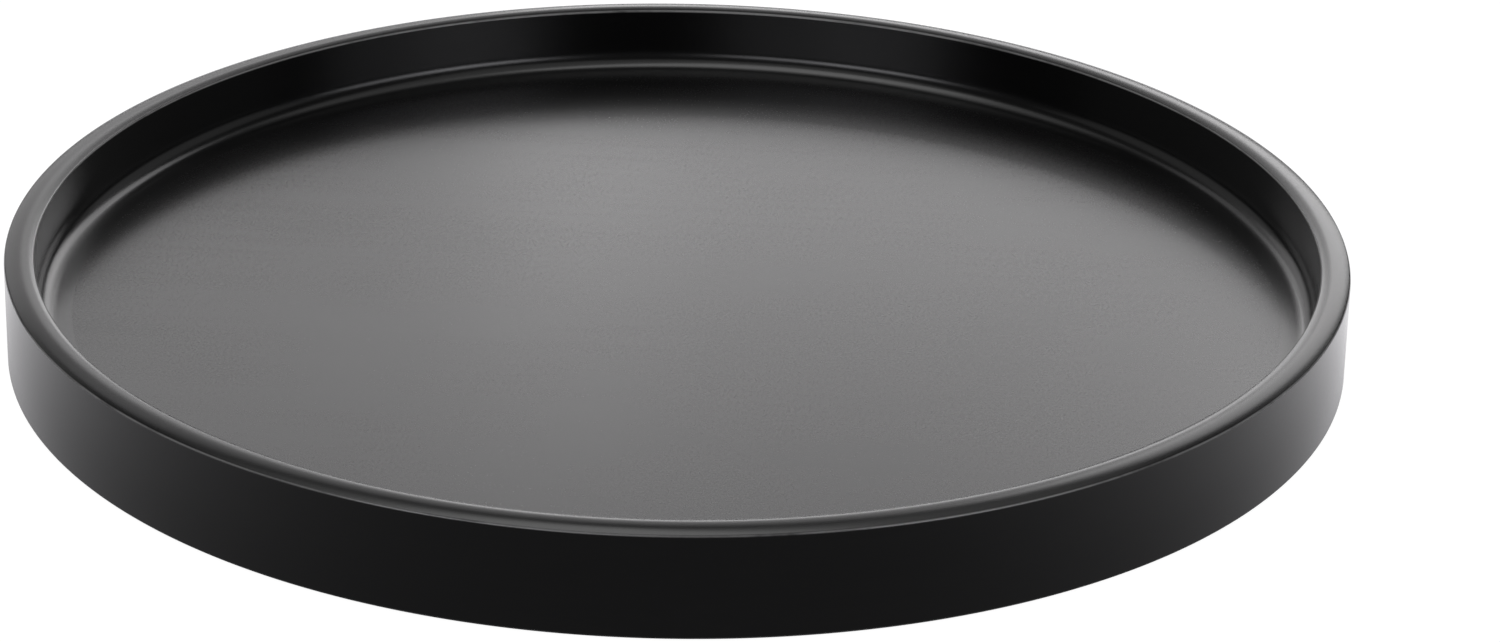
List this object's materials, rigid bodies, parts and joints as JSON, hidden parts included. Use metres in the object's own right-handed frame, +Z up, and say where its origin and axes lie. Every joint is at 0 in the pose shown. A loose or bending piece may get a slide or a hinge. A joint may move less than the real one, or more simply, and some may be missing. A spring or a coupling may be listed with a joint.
{
  "type": "dresser vanity tray",
  "caption": "Round black lacquered wooden tray with an upright rim, a softly crowned edge and a flat floor, for perfume bottles and vanity accessories on a dresser.",
  "frame": {"origin": "middle of the tray on the surface that it stands on", "axes": "+Z up along the tray's axis, -Y to the front, +X to the right"},
  "size_m": [0.27, 0.27, 0.022],
  "materials": {
    "rim_wood": "black satin lacquer",
    "panel_wood": "black satin lacquer over plywood, grain faintly showing",
    "tongue_wood": "bare, glued in",
    "pad_rubber": "matte"
  },
  "bodies": {
    "root": {"rim_segment_01": "rim_wood", "rim_segment_02": "rim_wood", "rim_segment_03": "rim_wood", "rim_segment_04": "rim_wood", "rim_segment_05": "rim_wood", "rim_segment_06": "rim_wood", "rim_segment_07": "rim_wood", "rim_segment_08": "rim_wood", "rim_segment_09": "rim_wood", "rim_segment_10": "rim_wood", "rim_segment_11": "rim_wood", "rim_segment_12": "rim_wood", "joint_tongue_01": "tongue_wood", "joint_tongue_02": "tongue_wood", "joint_tongue_03": "tongue_wood", "joint_tongue_04": "tongue_wood", "joint_tongue_05": "tongue_wood", "joint_tongue_06": "tongue_wood", "joint_tongue_07": "tongue_wood", "joint_tongue_08": "tongue_wood", "joint_tongue_09": "tongue_wood", "joint_tongue_10": "tongue_wood", "joint_tongue_11": "tongue_wood", "joint_tongue_12": "tongue_wood", "base_panel": "panel_wood", "anti_slip_pad_back_right": "pad_rubber", "anti_slip_pad_back_left": "pad_rubber", "anti_slip_pad_front_left": "pad_rubber", "anti_slip_pad_front_right": "pad_rubber"}
  },
  "joints": []
}
